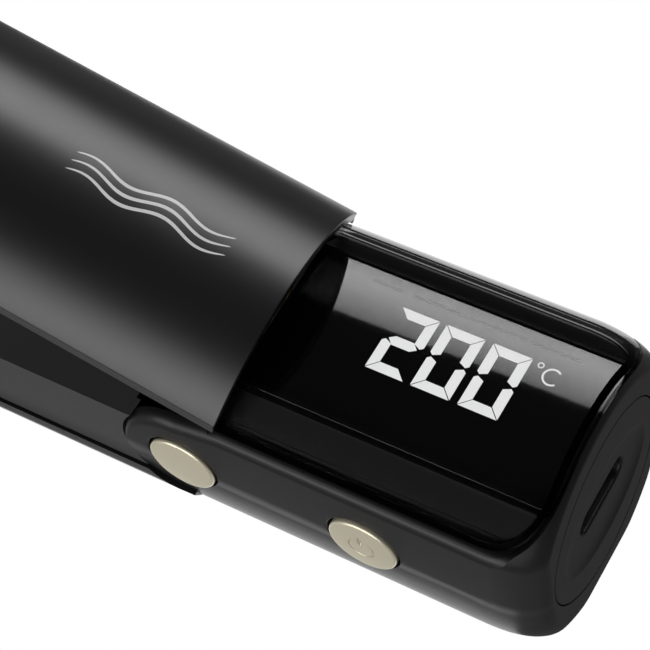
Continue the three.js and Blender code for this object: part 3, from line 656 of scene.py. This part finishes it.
def make_lower_body():
    """The lower arm's inner frame: a tray open below, with its tongue.

    It comes close up to the ears, and leaves more room between them, where the lugs swing.
    """
    half, inner = BODY_HALF, BODY_HALF - BODY_WALL
    lugs = 12.4
    tray = box("tray", ARM_X0, 0, -half, half, LOWER_SEAM + GAP, LOWER_TOP)
    cut(tray, box("hollow", ARM_X0 + BODY_WALL, 1, -inner, inner, -FAR, LOWER_TOP - SKIN_T),
        box("plate_opening", -190.2, -100.8, -12.4, 12.4, 0, FAR))
    web = box("web", -14, -10, -6, 6, -13.4, LOWER_TOP - SKIN_T / 2)
    body = cut(unite(tray, web), rod("ear", EAR_R + EAR_CLEAR, "Y", (0, 0, 0), -FAR, FAR, 128),
               rod("lug_room", EAR_R + 2 * GAP, "Y", (0, 0, 0), -lugs, lugs, 128))
    shelf = box("shelf", ARM_X0 + 1, -100, -inner - 0.5, inner + 0.5, -3, -1.4)
    tongue = box("tongue", -13.9, 12.4, -5, 5, -13.3, -11.8)
    holes = [rod("screw_hole", SCREW_R, "Z", (x, 0, 0), -FAR, -10) for x in SCREW_XS]
    return cut(unite(body, shelf, tongue), *holes)


def from_cad(node, body, slot, width, segments=3, tidy=1.0, angle=30):
    """A finished copy of a CAD node: its own edges rounded and its surface shaded smooth."""
    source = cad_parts[node]
    mesh = source.data.copy()
    mesh.transform(Matrix.Scale(1 / MM, 4))
    copy = bpy.data.objects.new(node + "_finished", mesh)
    bpy.context.scene.collection.objects.link(copy)
    soften(copy, width, segments, angle, tidy)
    copy.data.transform(Matrix.Scale(MM, 4))
    copy.data.materials.clear()
    copy.data.materials.append(FINISH[slot])
    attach(copy, body)
    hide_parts(node)
    return copy


def build_cushions():
    """The silicone cushions, each a rounded copy of its CAD part."""
    for arm, body, face, up, depth, turn in (
        ("lower", "handle", 8.15, -1, 4.1, 0.0),
        ("upper", "upper_arm", 8.55, 1, 2.6, OPEN),
    ):
        for i in (1, 2):
            pad = from_cad(f"{arm}_cushion_{i}", body, "silicone", 0.5, 4)
            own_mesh(pad)


def build_rest():
    build_cushions()
    piece(make_lower_body(), "lower_arm_body_finished", "handle", FINISH["arm_body_black"], "arm_body_black",
          ["lower_arm_body"], width=0.2)
    from_cad("upper_arm_body", "upper_arm", "arm_body_black", 0.2)
    from_cad("lower_plate", "lower_plate", "plate_coating", 0.5, 4)
    from_cad("upper_plate", "upper_plate", "plate_coating", 0.5, 4)
    kept = {
        "circuit_board": ["control_board", "button_board", "charge_board"],
        "steel": [
            "board_screw_1", "board_screw_2", "board_screw_3", "board_screw_4", "power_switch",
            "charge_port", "hinge_pin", "return_spring", "arm_screw_1", "arm_screw_2",
        ],
        "chip_black": [
            "display_module", "power_transistor", "port_tongue", "lower_thermistor", "upper_thermistor",
        ],
        "cell_wrap": ["capacitor", "battery_cell"],
        "ceramic": ["battery_connector", "lower_heater", "upper_heater"],
        "cradle_foam": ["battery_saddle_1", "battery_saddle_2"],
        "lead_red": ["lower_heater_lead", "upper_heater_lead"],
        "bush_brass": ["hinge_bush_near", "hinge_bush_far"],
    }
    for slot, names in kept.items():
        for name in names:
            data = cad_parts[name].data
            data.materials.clear()
            data.materials.append(FINISH[slot])


def build_mark():
    """A plain mark of three waves laid along the top of the upper shell."""
    verts, faces = [], []
    r, steps = SHELL_R + MARK_LIFT, 90
    start, length, pitch, wave = -23.5, 19.4, 1.15, 0.55
    for k in range(3):
        base = len(verts)
        for i in range(steps + 1):
            t = i / steps
            x = start + length * t
            taper = math.sin(math.pi * t) ** 0.35
            mid = (k - 1) * pitch + wave * math.sin(2 * math.pi * 2.0 * t + 0.3)
            for side in (-1, 1):
                y = mid + side * 0.2 * taper
                a = math.pi / 2 - y / SHELL_R
                verts.append((x, r * math.cos(a), SHELL_Z + r * math.sin(a)))
        faces += [(base + 2 * i, base + 2 * i + 1, base + 2 * i + 3, base + 2 * i + 2) for i in range(steps)]
    mark = mesh_object("mark", verts, faces)
    mod = mark.modifiers.new("thick", "SOLIDIFY")
    mod.thickness = 0.02
    mod.offset = -1
    apply_modifiers(mark)
    piece(mark, "printed_mark", "upper_arm", FINISH["printed_grey"], "lit_segments", (), True, rounded=False)


# ---- Studio -------------------------------------------------------------------------------


def camera_only(obj):
    """Floor and backdrop are seen by the camera, and neither light nor shade the object."""
    obj.visible_diffuse = False
    obj.visible_glossy = False
    obj.visible_transmission = False
    obj.visible_shadow = False


def glow(name, corners, levels, camera=False):
    """A flat light panel. levels are [place, brightness] pairs from its first edge to its last."""
    panel = mesh_object(name, corners, [(0, 1, 2, 3)])
    uv = panel.data.uv_layers.new(name="UVMap")
    for loop in panel.data.loops:
        uv.data[loop.index].uv = [(0, 0), (1, 0), (1, 1), (0, 1)][loop.vertex_index]
    mat = bpy.data.materials.new(name)
    mat.use_nodes = True
    nodes, links = mat.node_tree.nodes, mat.node_tree.links
    nodes.clear()
    light = nodes.new("ShaderNodeEmission")
    links.new(light.outputs[0], nodes.new("ShaderNodeOutputMaterial").inputs["Surface"])
    if len(levels) == 1:
        light.inputs["Strength"].default_value = levels[0][1]
    else:
        peak = max(v for _, v in levels)
        split = nodes.new("ShaderNodeSeparateXYZ")
        links.new(nodes.new("ShaderNodeUVMap").outputs["UV"], split.inputs[0])
        ramp = nodes.new("ShaderNodeValToRGB")
        links.new(split.outputs["Y"], ramp.inputs["Fac"])
        ramp.color_ramp.elements[0].position = levels[0][0]
        ramp.color_ramp.elements[1].position = levels[-1][0]
        for place, _ in levels[1:-1]:
            ramp.color_ramp.elements.new(place)
        for element, (_, v) in zip(ramp.color_ramp.elements, levels):
            element.color = (v / peak, v / peak, v / peak, 1)
        links.new(ramp.outputs["Color"], light.inputs["Color"])
        light.inputs["Strength"].default_value = peak
    panel.data.materials.append(mat)
    panel.visible_camera = camera
    if camera:
        camera_only(panel)
    return panel


def studio_point(x, y, z):
    return ((x + ORIGIN[0]) * MM, (y + ORIGIN[1]) * MM, (z + ORIGIN[2]) * MM)


# The light that the floor throws back: name, x0, x1, y0, y1 and brightness.
FLOOR_LIGHT = [
    ("floor_bounce", -4000, 4000, -4000, -17, 0.24),
    ("floor_under", -4000, 38, -17, 60, 1.6),
    ("floor_end", 38, 4000, -17, 60, 0.16),
    ("floor_behind", -4000, 4000, 60, 4000, 0.16),
]


SENSOR = 36
FOCAL = 2114 / 650  # in widths of the picture


def build_studio():
    scene = bpy.context.scene
    world = bpy.data.worlds.new("studio")
    scene.world = world
    world.use_nodes = True
    world.node_tree.nodes["Background"].inputs["Color"].default_value = (1, 1, 1, 1)
    world.node_tree.nodes["Background"].inputs["Strength"].default_value = 0.03

    wide = [(-4, -4), (4, -4), (4, 4), (-4, 4)]
    glow("floor", [(x, y, -0.0002) for x, y in wide], [(0, 1.0)], camera=True)
    for name, x0, x1, y0, y1, level in FLOOR_LIGHT:
        corners = ((x0, y0), (x1, y0), (x1, y1), (x0, y1))
        glow(name, [studio_point(x, y, FLOOR - 0.4) for x, y in corners], [(0, level)])
    bpy.ops.mesh.primitive_uv_sphere_add(segments=48, ring_count=24, radius=4)
    dome = bpy.context.object
    dome.name = "backdrop"
    dome.data.materials.append(bpy.data.materials["floor"])
    camera_only(dome)

    back = ((-440, 206.5, 400), (200, 218.7, 400), (200, 565, 260), (-440, 553, 260))
    side = ((-500, -480, 60), (250, -480, 60), (250, -380, 380), (-500, -380, 380))
    glow("back_light", [studio_point(*p) for p in back],
         [(0, 1.6), (0.045, 6.0), (0.35, 5.2), (0.8, 2.8), (1, 1.4)])
    glow("side_light", [studio_point(*p) for p in side],
         [(0, 5.0), (0.5, 3.6), (1, 0.6)])

    data = bpy.data.cameras.new("camera")
    data.sensor_width = SENSOR
    data.lens = SENSOR * FOCAL
    data.clip_start = 0.01
    camera = bpy.data.objects.new("camera", data)
    right = np.array([0.85966352, 0.49487717, -0.12678806])
    down = np.array([0.35125644, -0.75280194, -0.55669394])
    ahead = np.array([-0.37094142, 0.43403435, -0.82098517])
    pose = np.eye(4)
    pose[:3, 0], pose[:3, 1], pose[:3, 2] = right, -down, -ahead
    pose[:3, 3] = (0.172009, -0.095103, 0.208988)
    camera.matrix_world = Matrix(pose.tolist())
    scene.collection.objects.link(camera)
    scene.camera = camera
    scene.view_settings.view_transform = "Standard"


build_rear()
build_discs()
build_arms()
build_mark()
build_rest()
build_studio()
